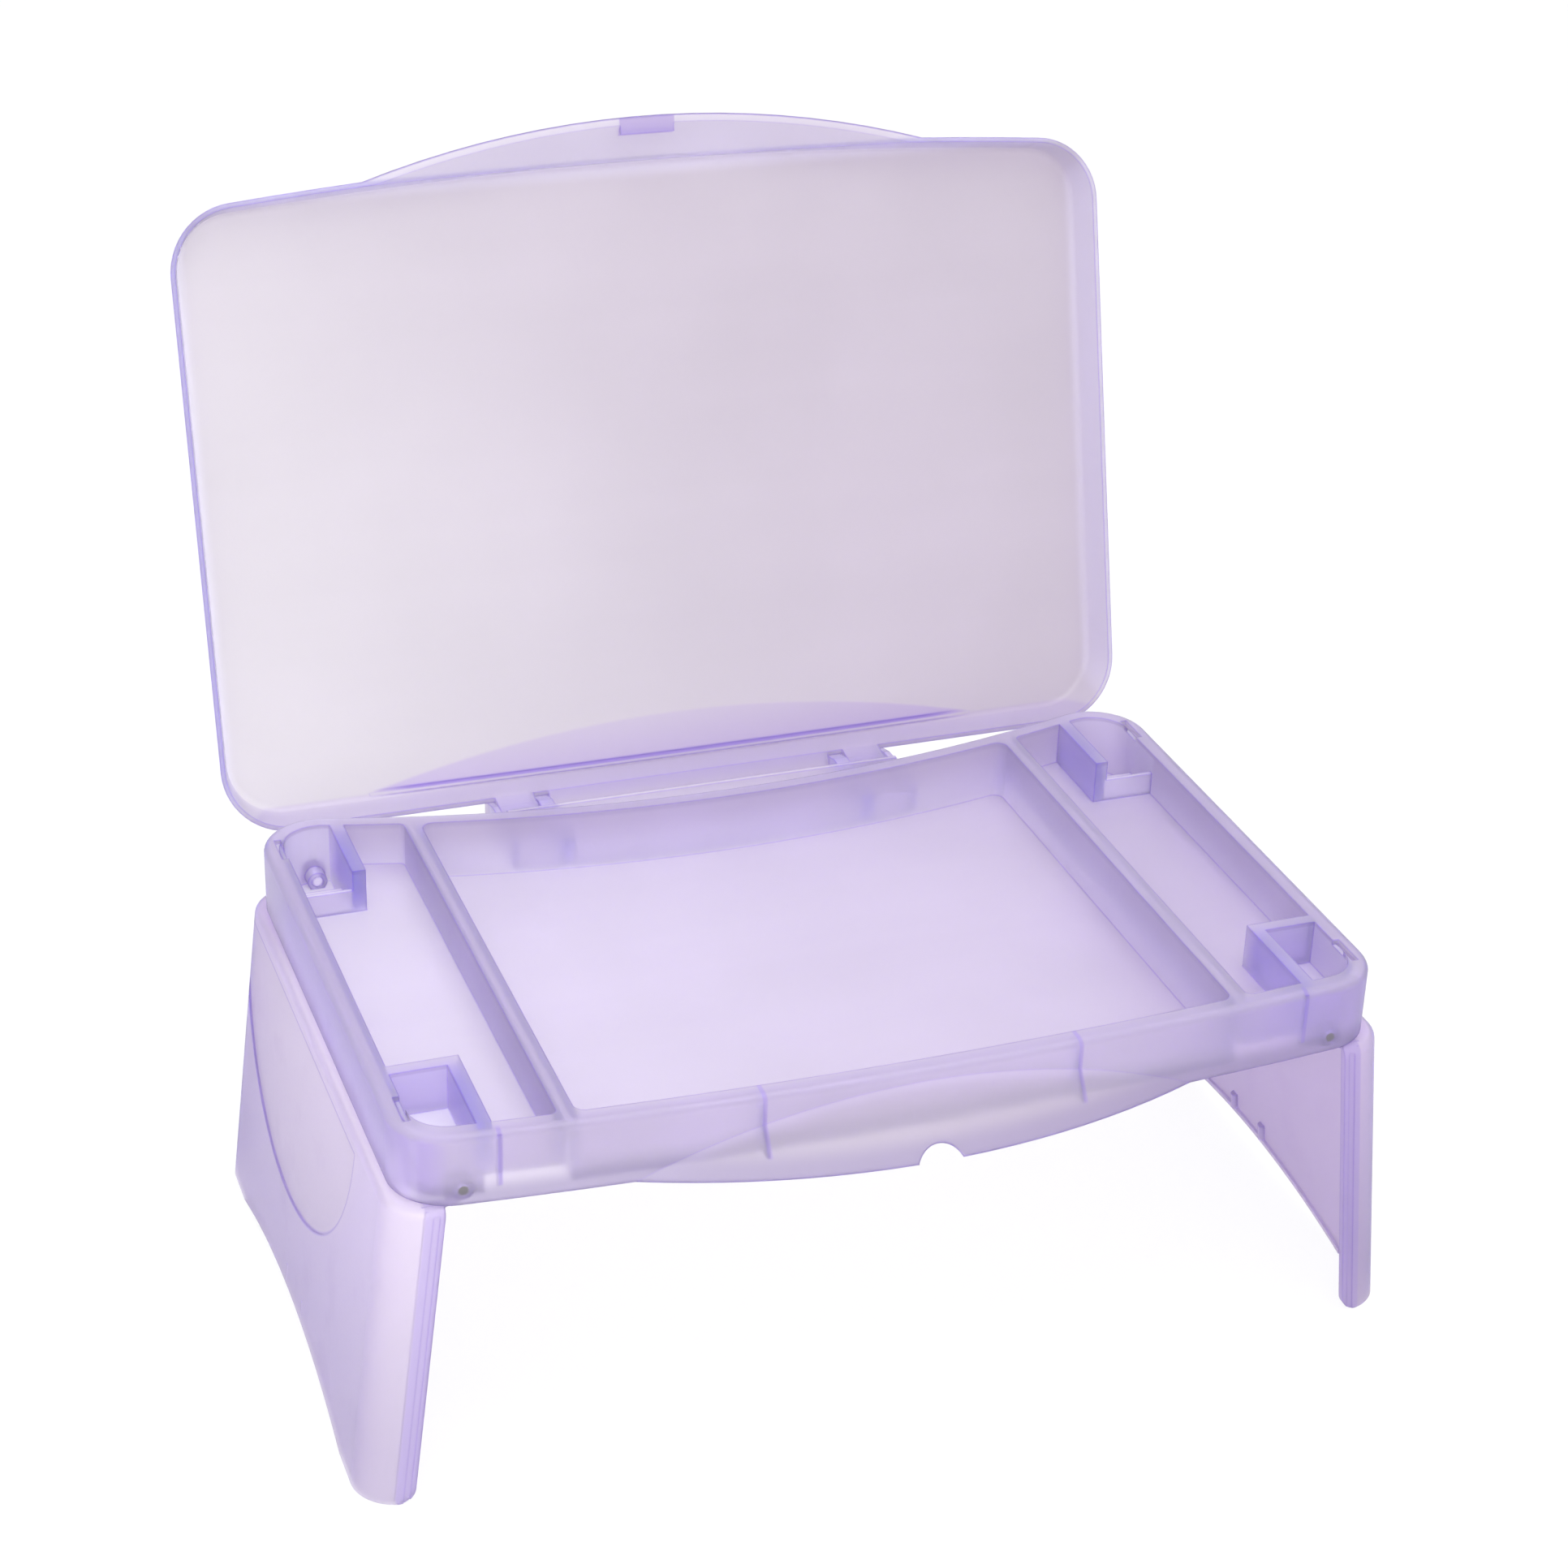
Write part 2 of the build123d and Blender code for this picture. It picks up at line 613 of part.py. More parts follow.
with BuildPart() as left_leg:
    add(leg_channel(0, 0, leg_top_z))
    fillet(left_leg.edges().group_by(Axis.Z)[-1].sort_by(Axis.X)[:-1], radius=leg_shoulder)
    add(leg_channel(wall, -wall, leg_top_z - wall), mode=Mode.SUBTRACT)
    add(leg_channel(leg_shoulder_width, leg_top_z - 2 * wall, leg_top_z + wall), mode=Mode.SUBTRACT)
    add(leg_beads.part)
    add(arch_bead.part)
    add(bead_grooves.part, mode=Mode.SUBTRACT)

    # Rounded lower inner corner of each flange
    with BuildSketch(Plane.XZ) as front:
        with BuildLine():
            Polyline(
                (leg_x(flange_end, leg_top_z), leg_top_z),
                (leg_x(flange_end, 0), 0),
                (-tray_width, 0),
                (-tray_width, leg_top_z),
                close=True,
            )
        make_face()
        fillet(front.vertices().group_by(Axis.Y)[0].sort_by(Axis.X)[-1], radius=leg_flange_round)
    extrude(amount=tray_depth, both=True, mode=Mode.INTERSECT)

    # Arch between the feet
    add(arch_band(0, -tray_width), mode=Mode.SUBTRACT)

    # Grips inside, at the arch's edge
    with BuildSketch(leg_plane.offset(grip_low - leg_axis_z)):
        with Locations([(wall - leg_face_offset, leg_front_y + grip_y) for grip_y in grip_positions]):
            Circle(grip_radius)
    extrude(amount=grip_height)

    # Shallow half-oval recess in the outer face
    recess_plane = Plane(
        origin=leg_plane.origin - leg_plane.x_dir * leg_face_offset, x_dir=(0, -1, 0), z_dir=-leg_plane.x_dir,
    )
    recess_y = leg_front_y + recess_setback
    recess_top = leg_rise(-leg_face_offset, leg_top_z) - recess_drop
    with BuildSketch(recess_plane):
        with Locations((-recess_y, recess_top)):
            Ellipse(recess_half_length, recess_height)
        with Locations((-recess_y, recess_top - recess_height / 2)):
            Rectangle(2 * recess_half_length, recess_height, mode=Mode.INTERSECT)
    extrude(amount=-recess_depth, mode=Mode.SUBTRACT)

    # Hinge lugs standing on the ledges of the two flanges
    slant = lug_radius * cos(radians(45))
    foot_start = flange_end - lug_foot
    foot_low = leg_rise(foot_start, leg_top_z - wall / 2)
    for lug_y in (front_lug_y, rear_lug_y):
        lug_plane = Plane(
            origin=(-leg_axis_x, lug_y - lug_thickness / 2, leg_axis_z), x_dir=leg_plane.x_dir, z_dir=(0, -1, 0),
        )
        with BuildSketch(lug_plane):
            Circle(lug_radius)
            with BuildLine():
                Polyline(
                    (-lug_radius, 0),
                    (slant, -slant),
                    (flange_end, foot_low),
                    (foot_start, foot_low),
                    (foot_start, leg_rise(foot_start, leg_top_z)),
                    (-lug_radius, leg_rise(-lug_radius, leg_top_z)),
                    close=True,
                )
            make_face()
            Circle(leg_pin_radius + running_clearance, mode=Mode.SUBTRACT)
        extrude(amount=-lug_thickness)
left_leg.part.label = "left_leg"
export_step(left_leg.part, "parts/left_leg.step")

with BuildPart() as right_leg:
    mirror(left_leg.part, about=Plane.YZ)
right_leg.part.label = "right_leg"
export_step(right_leg.part, "parts/right_leg.step")

# Pins of the leg hinges
leg_pins = (
    ("leg_hinge_pin_left_front", -leg_axis_x, front_pin_y, front_pin_end),
    ("leg_hinge_pin_left_rear", -leg_axis_x, rear_pin_y, rear_pin_end),
    ("leg_hinge_pin_right_front", leg_axis_x, front_pin_y, front_pin_end),
    ("leg_hinge_pin_right_rear", leg_axis_x, rear_pin_y, rear_pin_end),
)
for pin_name, pin_x, pin_y, pin_end in leg_pins:
    with BuildPart() as leg_hinge_pin:
        with BuildSketch(Plane.XZ.offset(-pin_end)):
            with Locations((pin_x, leg_axis_z)):
                Circle(leg_pin_radius)
        extrude(amount=pin_end - pin_y)
        chamfer(leg_hinge_pin.edges().filter_by(GeomType.CIRCLE), length=pin_chamfer)
    leg_hinge_pin.part.label = pin_name
    export_step(leg_hinge_pin.part, f"parts/{pin_name}.step")

# Pins of the lid hinge, through the two ears on each side
for pin_name, pin_x in (("lid_hinge_pin_left", -pin_reach), ("lid_hinge_pin_right", pin_reach - lid_pin_length)):
    with BuildPart() as lid_hinge_pin:
        with BuildSketch(Plane.YZ.offset(pin_x)):
            with Locations((lid_axis_y, lid_axis_z)):
                Circle(lid_pin_radius)
        extrude(amount=lid_pin_length)
        chamfer(lid_hinge_pin.edges().filter_by(GeomType.CIRCLE), length=pin_chamfer)
    lid_hinge_pin.part.label = pin_name
    export_step(lid_hinge_pin.part, f"parts/{pin_name}.step")
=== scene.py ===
"""Looks of a translucent lilac lap desk with a lift-up lid and two fold-under legs."""
import bpy
import json
import math
from mathutils import Matrix, Vector


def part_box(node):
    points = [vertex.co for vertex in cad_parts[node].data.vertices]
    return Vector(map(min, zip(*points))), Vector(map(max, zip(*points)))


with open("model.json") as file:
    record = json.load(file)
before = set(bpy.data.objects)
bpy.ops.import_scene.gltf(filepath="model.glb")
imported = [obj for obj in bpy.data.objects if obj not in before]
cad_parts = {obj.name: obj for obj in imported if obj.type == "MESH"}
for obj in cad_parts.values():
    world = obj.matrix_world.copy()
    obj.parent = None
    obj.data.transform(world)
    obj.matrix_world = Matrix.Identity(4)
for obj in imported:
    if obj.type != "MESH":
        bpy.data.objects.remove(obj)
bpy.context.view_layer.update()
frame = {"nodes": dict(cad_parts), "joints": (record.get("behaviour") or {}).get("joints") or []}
tray_low, tray_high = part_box("tray")
joints = {joint["name"]: joint for joint in frame["joints"]}

# Camera, at the photograph's place above the front left corner
camera_place = Vector((-0.470, -1.2533, 0.9247))
camera_yaw = math.radians(20.761)
camera_pitch = math.radians(28.015)
camera_roll = math.radians(-1.978)
camera_lens = 77.08
sensor_width = 36.0

# Colours of the tray, as linear light: its plastic, rim and apron, painted shade along edges and rib lines,
# on the sides, right end and a low band, and painted light on the inner walls
tray_colour = (0.90, 0.86, 0.90, 1.0)
tray_shade_line_colour = (0.57, 0.45, 0.91, 1.0)
tray_rim_colour = (0.80, 0.755, 0.82, 1.0)
skirt_band_shade_colour = (0.57, 0.52, 0.66, 1.0)
side_shade_colour = (0.80, 0.72, 0.92, 1.0)
apron_colour = (0.77, 0.73, 0.76, 1.0)
inner_wall_light_colour = (0.99, 0.97, 0.985, 1.0)

# Colours of the lid: its plastic, rim and strip, and painted shade along its edges, on the catch and in the
# groove with its low line
lid_colour = (0.885, 0.865, 0.83, 1.0)
lid_edge_shade_colour = (0.54, 0.42, 0.90, 1.0)
lid_rim_colour = (0.99, 0.985, 0.97, 1.0)
lid_strip_colour = (0.78, 0.73, 0.80, 1.0)
groove_shade_colour = (0.66, 0.56, 0.81, 1.0)
groove_shade_line_colour = (0.46, 0.34, 0.80, 1.0)
catch_shade_colour = (0.76, 0.69, 0.88, 1.0)

# Colours of the legs, with painted shade along edges and lines, towards the foot and in the recess, and of
# the hinge pins
leg_colour = (0.95, 0.88, 0.94, 1.0)
leg_low_shade_colour = (0.73, 0.67, 0.76, 1.0)
leg_shade_line_colour = (0.60, 0.50, 0.83, 1.0)
peg_colour = (0.95, 0.91, 1.0, 1.0)

# Plastic: its clearness in each piece, its gloss, and the tint that light takes on inside, per metre
tray_clearness = 0.77
lid_clearness = 0.78
leg_clearness = 0.76
peg_clearness = 0.0
satin_roughness = 0.48
peg_roughness = 0.30
plastic_ior = 1.20
coat_weight = 0.22
coat_roughness = 0.15
depth_colour = (0.42, 0.26, 0.97, 1.0)
depth_density = 80.0

# Moulded surface: scales are in cells per metre, and shares are of the colour or of the roughness
colour_drift = 0.03
drift_scale = 7.0
drift_detail = 2.0
drift_limits = (0.3, 0.7)
flow_stretch = (3.0, 42.0, 42.0)
flow_scale = 1.0
flow_detail = 2.0
flow_share = 0.04
grain_scale = 900.0
grain_detail = 3.0
grain_share = 0.10
grain_strength = 0.06
grain_height = 0.0004
handling_scale = 26.0
handling_detail = 6.0
handling_limits = (0.52, 0.68)
handling_share = 0.12

# Moulded edges, with a rounded normal and painted shade along them: radius in metres, and how much the
# rounded normal still agrees with the face
edge_radius = 0.0012
edge_samples = 4
edge_turn = (0.995, 0.80)

# Tray, in metres: its box, the bow of its front, the apron's reach and the ribs behind the skirt
tray_half_width = tray_high[0]
tray_front = tray_low[1]
tray_bottom = tray_low[2]
tray_top = tray_high[2]
front_bow = 0.0115
apron_reach = 0.0195
apron_rib_x = 0.070
side_rib_x = 0.179

# Tray masks: where each starts and where it is full, in metres, or as a share of the face's normal
rib_line_edge = (0.0014, 0.0005)
rib_line_back = (tray_front + 0.034, tray_front + 0.030)
rib_line_foot = (tray_bottom + 0.0065, tray_bottom + 0.0080)
band_top = (tray_bottom + 0.012, tray_bottom + 0.003)
band_back = (tray_front + 0.040, tray_front + 0.034)
side_inner_end = (0.190, 0.196)
side_rear_end = (0.070, 0.010)
side_outward = (0.15, 0.60)
right_end_start = (0.080, 0.215)
right_end_back = (tray_front + 0.045, tray_front + 0.038)
apron_edge = (0.0, 0.003)
front_well_end = (-0.1205, -0.1245)
rear_well_end = (0.0350, 0.0390)
well_inner_end = (0.182, 0.184)
well_outer_end = (0.2135, 0.2115)
wall_upright = (0.6, 0.4)
wall_top = (tray_top - 0.004, tray_bottom + 0.009)
under_rim = (tray_top - 0.0013, tray_top - 0.0023)
over_underside = (tray_bottom + 0.0001, tray_bottom + 0.0007)
behind_front_wall = (tray_front + 0.0365, tray_front + 0.0385)
before_rear_wall = (0.1145, 0.1135)
rim_foot = (tray_top - 0.0035, tray_top - 0.0013)
band_strength = 0.8
rib_line_strength = 0.5

# Lid, in metres: the angle past upright, its hinge edge, and the crescent groove on its plane
lid_lean = math.radians(joints["lid_hinge"]["range_deg"][1] - 90)
lid_axis_y, lid_axis_z = joints["lid_hinge"]["pos_m"][1:]
lip_rise = 0.006
lip_setback = 0.00575
hinge_edge_y = lid_axis_y + lip_rise * math.cos(lid_lean) + lip_setback * math.sin(lid_lean)
hinge_edge_z = lid_axis_z + lip_setback * math.cos(lid_lean) - lip_rise * math.sin(lid_lean)
groove_half_width = 0.155
groove_low = 0.009
groove_width = 0.020
groove_low_share = 0.68
groove_share_fall = 0.35

# Lid masks: where each starts and where it is full, in metres
groove_foot = (-0.0010, 0.0)
groove_crown = (-0.0003, 0.0015)
groove_line_foot = (-0.0012, -0.0002)
groove_line_top = (0.0016, 0.0004)
groove_line_ends = (0.0, 0.006)
strip_top = (0.0, -0.002)
lid_rim_top = (0.286, 0.292)
lid_rim_side = (0.2165, 0.2225)
lid_rim_foot = (0.004, 0.012)
catch_foot = (0.3077, 0.3080)
catch_top = (0.3161, 0.3158)
catch_side = (0.0135, 0.0132)

# Leg, in metres: its slope, outer face and flange edge at the axis height, and the half-oval recess
leg_slope = math.tan(math.radians(joints["right_leg_fold"]["range_deg"][1] - 90))
axis_height = joints["right_leg_fold"]["pos_m"][2]
leg_outer = 0.22298
flange_edge = 0.20024
bead_width = 0.0078
recess_middle = -0.01858
recess_top = 0.13655
recess_half_length = 0.104
recess_height = 0.0835

# Leg masks: where each starts and where it is full, in metres, or as a share of the recess or normal
recess_line_edge = (0.0012, 0.0004)
recess_under_top = (-0.01, 0.0)
recess_top_ends = (1.01, 1.0)
recess_floor = (1.0, 0.96)
leg_outer_face = (leg_outer - 0.0018, leg_outer - 0.0012)
bead_edge = (flange_edge + bead_width + 0.001, flange_edge + bead_width)
foot_fall = (0.145, 0.025)
leg_inward = (-0.2, -0.7)
recess_line_strength = 0.6
bead_strength = 0.45
recess_shade_share = 0.25
inner_face_relief = 0.7

# Floor, in metres, and its glow behind the plastic, full on the left and a dim mauve on the right
floor_radius = 6.0
floor_sides = 96
floor_colour = (0.95, 0.945, 0.955, 1.0)
floor_roughness = 0.9
floor_gloss = 0.1
floor_glow = 1.02
floor_glow_share = 0.85
glow_fall = (-0.25, 0.42)
glow_white = (1.0, 1.0, 1.0, 1.0)
glow_mauve = (0.50, 0.40, 0.55, 1.0)

# World: strength of the light that it throws on the desk, where 1 is white
world_colour = (1.0, 1.0, 1.0, 1.0)
world_level = 0.95


def fill(node, values):
    """Fills a node's inputs; each value is a number, a colour or another node's output."""
    for label, value in values.items():
        if isinstance(value, bpy.types.NodeSocket):
            node.id_data.links.new(value, node.inputs[label])
        else:
            node.inputs[label].default_value = value


def reckon(tree, operation, *values):
    """One step of arithmetic; each value is a number or another node's output."""
    step = tree.nodes.new("ShaderNodeMath")
    step.operation = operation
    fill(step, dict(enumerate(values)))
    return step.outputs["Value"]


def product(tree, first, *others):
    """Product of several values."""
    for other in others:
        first = reckon(tree, "MULTIPLY", first, other)
    return first


def distance(tree, value, place):
    """How far a value is from a place on the same line."""
    return reckon(tree, "ABSOLUTE", reckon(tree, "SUBTRACT", value, place))


def ramp(tree, value, limits, smooth=True):
    """Mask that starts at the first limit and is full at the second."""
    step = tree.nodes.new("ShaderNodeMapRange")
    step.interpolation_type = "SMOOTHSTEP" if smooth else "LINEAR"
    fill(step, {"Value": value, "From Min": limits[0], "From Max": limits[1]})
    return step.outputs["Result"]


def vector_step(tree, operation, values):
    """Node for one step of arithmetic on vectors or colours."""
    step = tree.nodes.new("ShaderNodeVectorMath")
    step.operation = operation
    fill(step, values)
    return step


def mix_colour(tree, share, low, high):
    """Colour between two others; each is a colour or another node's output."""
    blend = tree.nodes.new("ShaderNodeMix")
    blend.data_type = "RGBA"
    fill(blend, {"Factor": share, "A": low, "B": high})
    return blend.outputs["Result"]


def mix_shader(tree, share, first, second):
    """Shader between two others."""
    blend = tree.nodes.new("ShaderNodeMixShader")
    fill(blend, {"Fac": share, 1: first, 2: second})
    return blend.outputs["Shader"]


def noise(tree, vector, scale, detail):
    """Strength of a noise at each place."""
    cloud = tree.nodes.new("ShaderNodeTexNoise")
    fill(cloud, {"Vector": vector, "Scale": scale, "Detail": detail})
    return cloud.outputs["Fac"]


def axes_of(tree, vector):
    """X, Y and Z of another node's vector."""
    parts = tree.nodes.new("ShaderNodeSeparateXYZ")
    fill(parts, {"Vector": vector})
    return parts.outputs["X"], parts.outputs["Y"], parts.outputs["Z"]


def piece_axes(tree):
    """The piece's own X, Y and Z, in metres, and the distance from the desk's middle plane."""
    place = tree.nodes.new("ShaderNodeTexCoord")
    x, y, z = axes_of(tree, place.outputs["Object"])
    return x, y, z, reckon(tree, "ABSOLUTE", x)


def face_turn(tree, x):
    """How far a face of the piece looks away from the desk's middle plane, and how far up or down."""
    facing = tree.nodes.new("ShaderNodeTexCoord")
    normal_x, _, normal_z = axes_of(tree, facing.outputs["Normal"])
    outward = product(tree, reckon(tree, "SIGN", x), normal_x)
    return outward, reckon(tree, "ABSOLUTE", normal_z)


def node_group(name, inputs, outputs):
    """Shader node group with named sockets, with the nodes that bring its inputs and take its outputs."""
    group = bpy.data.node_groups.new(name, "ShaderNodeTree")
    for label, value in inputs.items():
        kind = "NodeSocketColor" if isinstance(value, tuple) else "NodeSocketFloat"
        made = group.interface.new_socket(name=label, in_out="INPUT", socket_type=kind)
        made.default_value = value
    for label, kind in outputs.items():
        group.interface.new_socket(name=label, in_out="OUTPUT", socket_type=kind)
    return group, group.nodes.new("NodeGroupInput"), group.nodes.new("NodeGroupOutput")


def place_group(tree, group, values):
    """Puts a node group into a tree with its own values."""
    placed = tree.nodes.new("ShaderNodeGroup")
    placed.node_tree = group
    fill(placed, values)
    return placed


def lay_tints(tree, inlet, outlet, layers):
    """Lays tints over the face colour in turn; each layer is a mask and the name of its colour."""
    colour = inlet.outputs["Colour"]
    for mask, label in layers:
        colour = mix_colour(tree, mask, colour, inlet.outputs[label])
    fill(outlet, {"Colour": colour})


def mould_texture_group():
    """Moulded surface: colour drift, flow marks, satin grain with its height, and handling marks."""
    group, inlet, outlet = node_group(
        "mould_texture",
        {
            "Colour": tray_colour, "Drift": colour_drift, "Roughness": satin_roughness,
            "Grain Size": grain_scale,
        },
        {"Colour": "NodeSocketColor", "Roughness": "NodeSocketFloat", "Height": "NodeSocketFloat"},
    )
    place = group.nodes.new("ShaderNodeTexCoord").outputs["Object"]
    clouds = ramp(group, noise(group, place, drift_scale, drift_detail), drift_limits, smooth=False)
    # The clouds run from 0 to 1, and the drift goes both ways from the middle
    spread = reckon(group, "MULTIPLY_ADD", clouds, 2.0, -1.0)
    drift = reckon(group, "MULTIPLY_ADD", spread, inlet.outputs["Drift"], 1.0)
    stretched = vector_step(group, "MULTIPLY", {0: place, 1: flow_stretch})
    flow = noise(group, stretched.outputs["Vector"], flow_scale, flow_detail)
    streaks = reckon(group, "MULTIPLY_ADD", flow, flow_share, -flow_share / 2)
    level = reckon(group, "ADD", drift, streaks)
    tint = vector_step(group, "SCALE", {0: inlet.outputs["Colour"], "Scale": level})
    grain = noise(group, place, inlet.outputs["Grain Size"], grain_detail)
    satin = reckon(group, "MULTIPLY_ADD", grain, grain_share, inlet.outputs["Roughness"])
    handling = ramp(group, noise(group, place, handling_scale, handling_detail), handling_limits)
    worn = product(group, handling, handling_share)
    fill(outlet, {
        "Colour": tint.outputs["Vector"],
        "Roughness": reckon(group, "ADD", satin, worn),
        "Height": grain,
    })
    return group


def rounded_edge_shade_group():
    """Soft moulded edges: a rounded normal, and the face colour turning to a painted edge shade."""
    group, inlet, outlet = node_group(
        "rounded_edge_shade",
        {"Face Colour": tray_colour, "Edge Shade Colour": tray_shade_line_colour, "Radius": edge_radius},
        {"Colour": "NodeSocketColor", "Normal": "NodeSocketVector"},
    )
    rounded = group.nodes.new("ShaderNodeBevel")
    rounded.samples = edge_samples
    fill(rounded, {"Radius": inlet.outputs["Radius"]})
    face = group.nodes.new("ShaderNodeNewGeometry")
    likeness = vector_step(
        group, "DOT_PRODUCT", {0: rounded.outputs["Normal"], 1: face.outputs["Normal"]},
    )
    turned = ramp(group, likeness.outputs["Value"], edge_turn, smooth=False)
    # Painted shade: the face colour turns to a darker violet along every edge
    colour = mix_colour(group, turned, inlet.outputs["Face Colour"], inlet.outputs["Edge Shade Colour"])
    fill(outlet, {"Colour": colour, "Normal": rounded.outputs["Normal"]})
    return group


def lid_marks_group():
    """Tints of the lid: its rim and the strip by the hinge, with painted shade on the catch and in the
    groove, darkest along its low line.
    """
    group, inlet, outlet = node_group(
        "lid_marks",
        {
            "Colour": lid_colour, "Rim Colour": lid_rim_colour, "Strip Colour": lid_strip_colour,
            "Catch Shade Colour": catch_shade_colour, "Groove Shade Colour": groove_shade_colour,
            "Shade Line Colour": groove_shade_line_colour,
        },
        {"Colour": "NodeSocketColor"},
    )
    x, y, z, side = piece_axes(group)
    back = reckon(group, "SUBTRACT", y, hinge_edge_y)
    rise = product(group, reckon(group, "SUBTRACT", z, hinge_edge_z), math.cos(lid_lean))
    up = reckon(group, "MULTIPLY_ADD", back, math.sin(lid_lean), rise)
    rim = reckon(group, "MAXIMUM", ramp(group, up, lid_rim_top), ramp(group, side, lid_rim_side))
    rim = product(group, rim, ramp(group, up, lid_rim_foot))
    # Painted shade on the catch
    catch = product(
        group, ramp(group, up, catch_foot), ramp(group, up, catch_top), ramp(group, side, catch_side),
    )
    # Painted shade in the groove, strongest at its foot and fading upwards, and a darker painted shade line
    # along its foot
    height = reckon(group, "SUBTRACT", up, groove_low)
    across = reckon(group, "DIVIDE", x, groove_half_width)
    crown = reckon(
        group, "MULTIPLY_ADD", product(group, across, across), -groove_width, groove_width,
    )
    fall = reckon(
        group, "MULTIPLY_ADD", reckon(group, "DIVIDE", height, groove_width),
        -groove_share_fall, groove_low_share,
    )
    groove = product(
        group, ramp(group, height, groove_foot),
        ramp(group, reckon(group, "SUBTRACT", crown, height), groove_crown), fall,
    )
    line = product(
        group, ramp(group, height, groove_line_foot), ramp(group, height, groove_line_top),
        ramp(group, crown, groove_line_ends),
    )
    lay_tints(group, inlet, outlet, [
        (rim, "Rim Colour"),
        (ramp(group, height, strip_top), "Strip Colour"),
        (catch, "Catch Shade Colour"),
        (groove, "Groove Shade Colour"),
        (line, "Shade Line Colour"),
    ])
    return group


def tray_marks_group():
    """Tints of the tray: its apron and rim, painted shade on the skirt's sides, right end and low band and
    in lines at the ribs, and painted light on the inner walls.
    """
    group, inlet, outlet = node_group(
        "tray_marks",
        {
            "Colour": tray_colour, "Side Shade Colour": side_shade_colour, "Apron Colour": apron_colour,
            "Rim Colour": tray_rim_colour, "Inner Wall Light Colour": inner_wall_light_colour,
            "Band Shade Colour": skirt_band_shade_colour, "Shade Line Colour": tray_shade_line_colour,
        },
        {"Colour": "NodeSocketColor"},
    )
    x, y, z, side = piece_axes(group)
    outward, level = face_turn(group, x)
    # Painted shade on the outward faces of the skirt's sides and on the tray's right end
    skirt_side_shade = product(
        group, ramp(group, outward, side_outward), ramp(group, side, side_inner_end),
        ramp(group, y, side_rear_end),
    )
    right_end_shade = product(group, ramp(group, x, right_end_start), ramp(group, y, right_end_back))
    bow = product(group, x, x, front_bow / tray_half_width ** 2)
    skirt_y = reckon(group, "ADD", bow, tray_front + apron_reach)
    apron = ramp(group, reckon(group, "SUBTRACT", skirt_y, y), apron_edge)
    # Painted light: the inner walls of the wells and the upright walls turn nearly white
    along_well = reckon(
        group, "MAXIMUM", ramp(group, y, front_well_end), ramp(group, y, rear_well_end),
    )
    within = ramp(group, side, well_outer_end)
    well = product(group, along_well, ramp(group, side, well_inner_end), within)
    upright = product(group, ramp(group, level, wall_upright), ramp(group, z, wall_top), within)
    walls = product(
        group, reckon(group, "MAXIMUM", well, upright),
        ramp(group, z, under_rim), ramp(group, z, over_underside),
        ramp(group, y, behind_front_wall), ramp(group, y, before_rear_wall),
    )
    # Painted shade in a darker band low on the front skirt
    band = product(group, ramp(group, z, band_top), ramp(group, y, band_back), band_strength)
    # Painted shade lines where the ribs meet the skirt
    ribs = [ramp(group, distance(group, side, rib_x), rib_line_edge) for rib_x in (apron_rib_x, side_rib_x)]
    lines = product(
        group, reckon(group, "ADD", *ribs),
        ramp(group, y, rib_line_back), ramp(group, z, rib_line_foot), rib_line_strength,
    )
    lay_tints(group, inlet, outlet, [
        (reckon(group, "MAXIMUM", skirt_side_shade, right_end_shade), "Side Shade Colour"),
        (apron, "Apron Colour"),
        (ramp(group, z, rim_foot), "Rim Colour"),
        (walls, "Inner Wall Light Colour"),
        (band, "Band Shade Colour"),
        (lines, "Shade Line Colour"),
    ])
    return group


def leg_marks_group():
    """Painted shade on a leg: darker towards the foot and in the recess, less on its inner faces, with
    painted shade lines along its recess outline and flange beads.
    """
    group, inlet, outlet = node_group(
        "leg_marks",
        {"Colour": leg_colour, "Low Shade Colour": leg_low_shade_colour, "Shade Line Colour": leg_shade_line_colour},
        {"Colour": "NodeSocketColor"},
    )
    x, y, z, side = piece_axes(group)
    outward, _ = face_turn(group, x)
    drop = reckon(group, "SUBTRACT", axis_height, z)
    level_side = reckon(group, "MULTIPLY_ADD", drop, -leg_slope, side)
    outer_face = ramp(group, level_side, leg_outer_face)
    along = reckon(group, "DIVIDE", reckon(group, "SUBTRACT", y, recess_middle), recess_half_length)
    down = reckon(group, "DIVIDE", reckon(group, "SUBTRACT", recess_top, z), recess_height)
    under_top = ramp(group, down, recess_under_top)
    reach = reckon(group, "MULTIPLY_ADD", along, along, product(group, down, down))
    reach = reckon(group, "SQRT", reach)
    to_curve = product(group, distance(group, reach, 1.0), recess_height)
    curve = product(group, ramp(group, to_curve, recess_line_edge), under_top)
    to_top = product(group, reckon(group, "ABSOLUTE", down), recess_height)
    top = product(group, ramp(group, to_top, recess_line_edge), ramp(group, reach, recess_top_ends))
    # Painted shade lines along the recess outline and at the flange beads
    outline = product(
        group, reckon(group, "MAXIMUM", curve, top), outer_face, recess_line_strength,
    )
    bead = product(group, ramp(group, level_side, bead_edge), bead_strength)
    # Painted shade, darker towards the foot and in the recess, and less on the inner faces
    sunk = product(group, ramp(group, reach, recess_floor), under_top, outer_face)
    fall = ramp(group, z, foot_fall, smooth=False)
    deeper = reckon(group, "MULTIPLY_ADD", sunk, recess_shade_share, fall)
    outer_share = reckon(
        group, "MULTIPLY_ADD", ramp(group, outward, leg_inward), -inner_face_relief, 1.0,
    )
    lay_tints(group, inlet, outlet, [
        (product(group, deeper, outer_share), "Low Shade Colour"),
        (reckon(group, "MAXIMUM", outline, bead), "Shade Line Colour"),
    ])
    return group


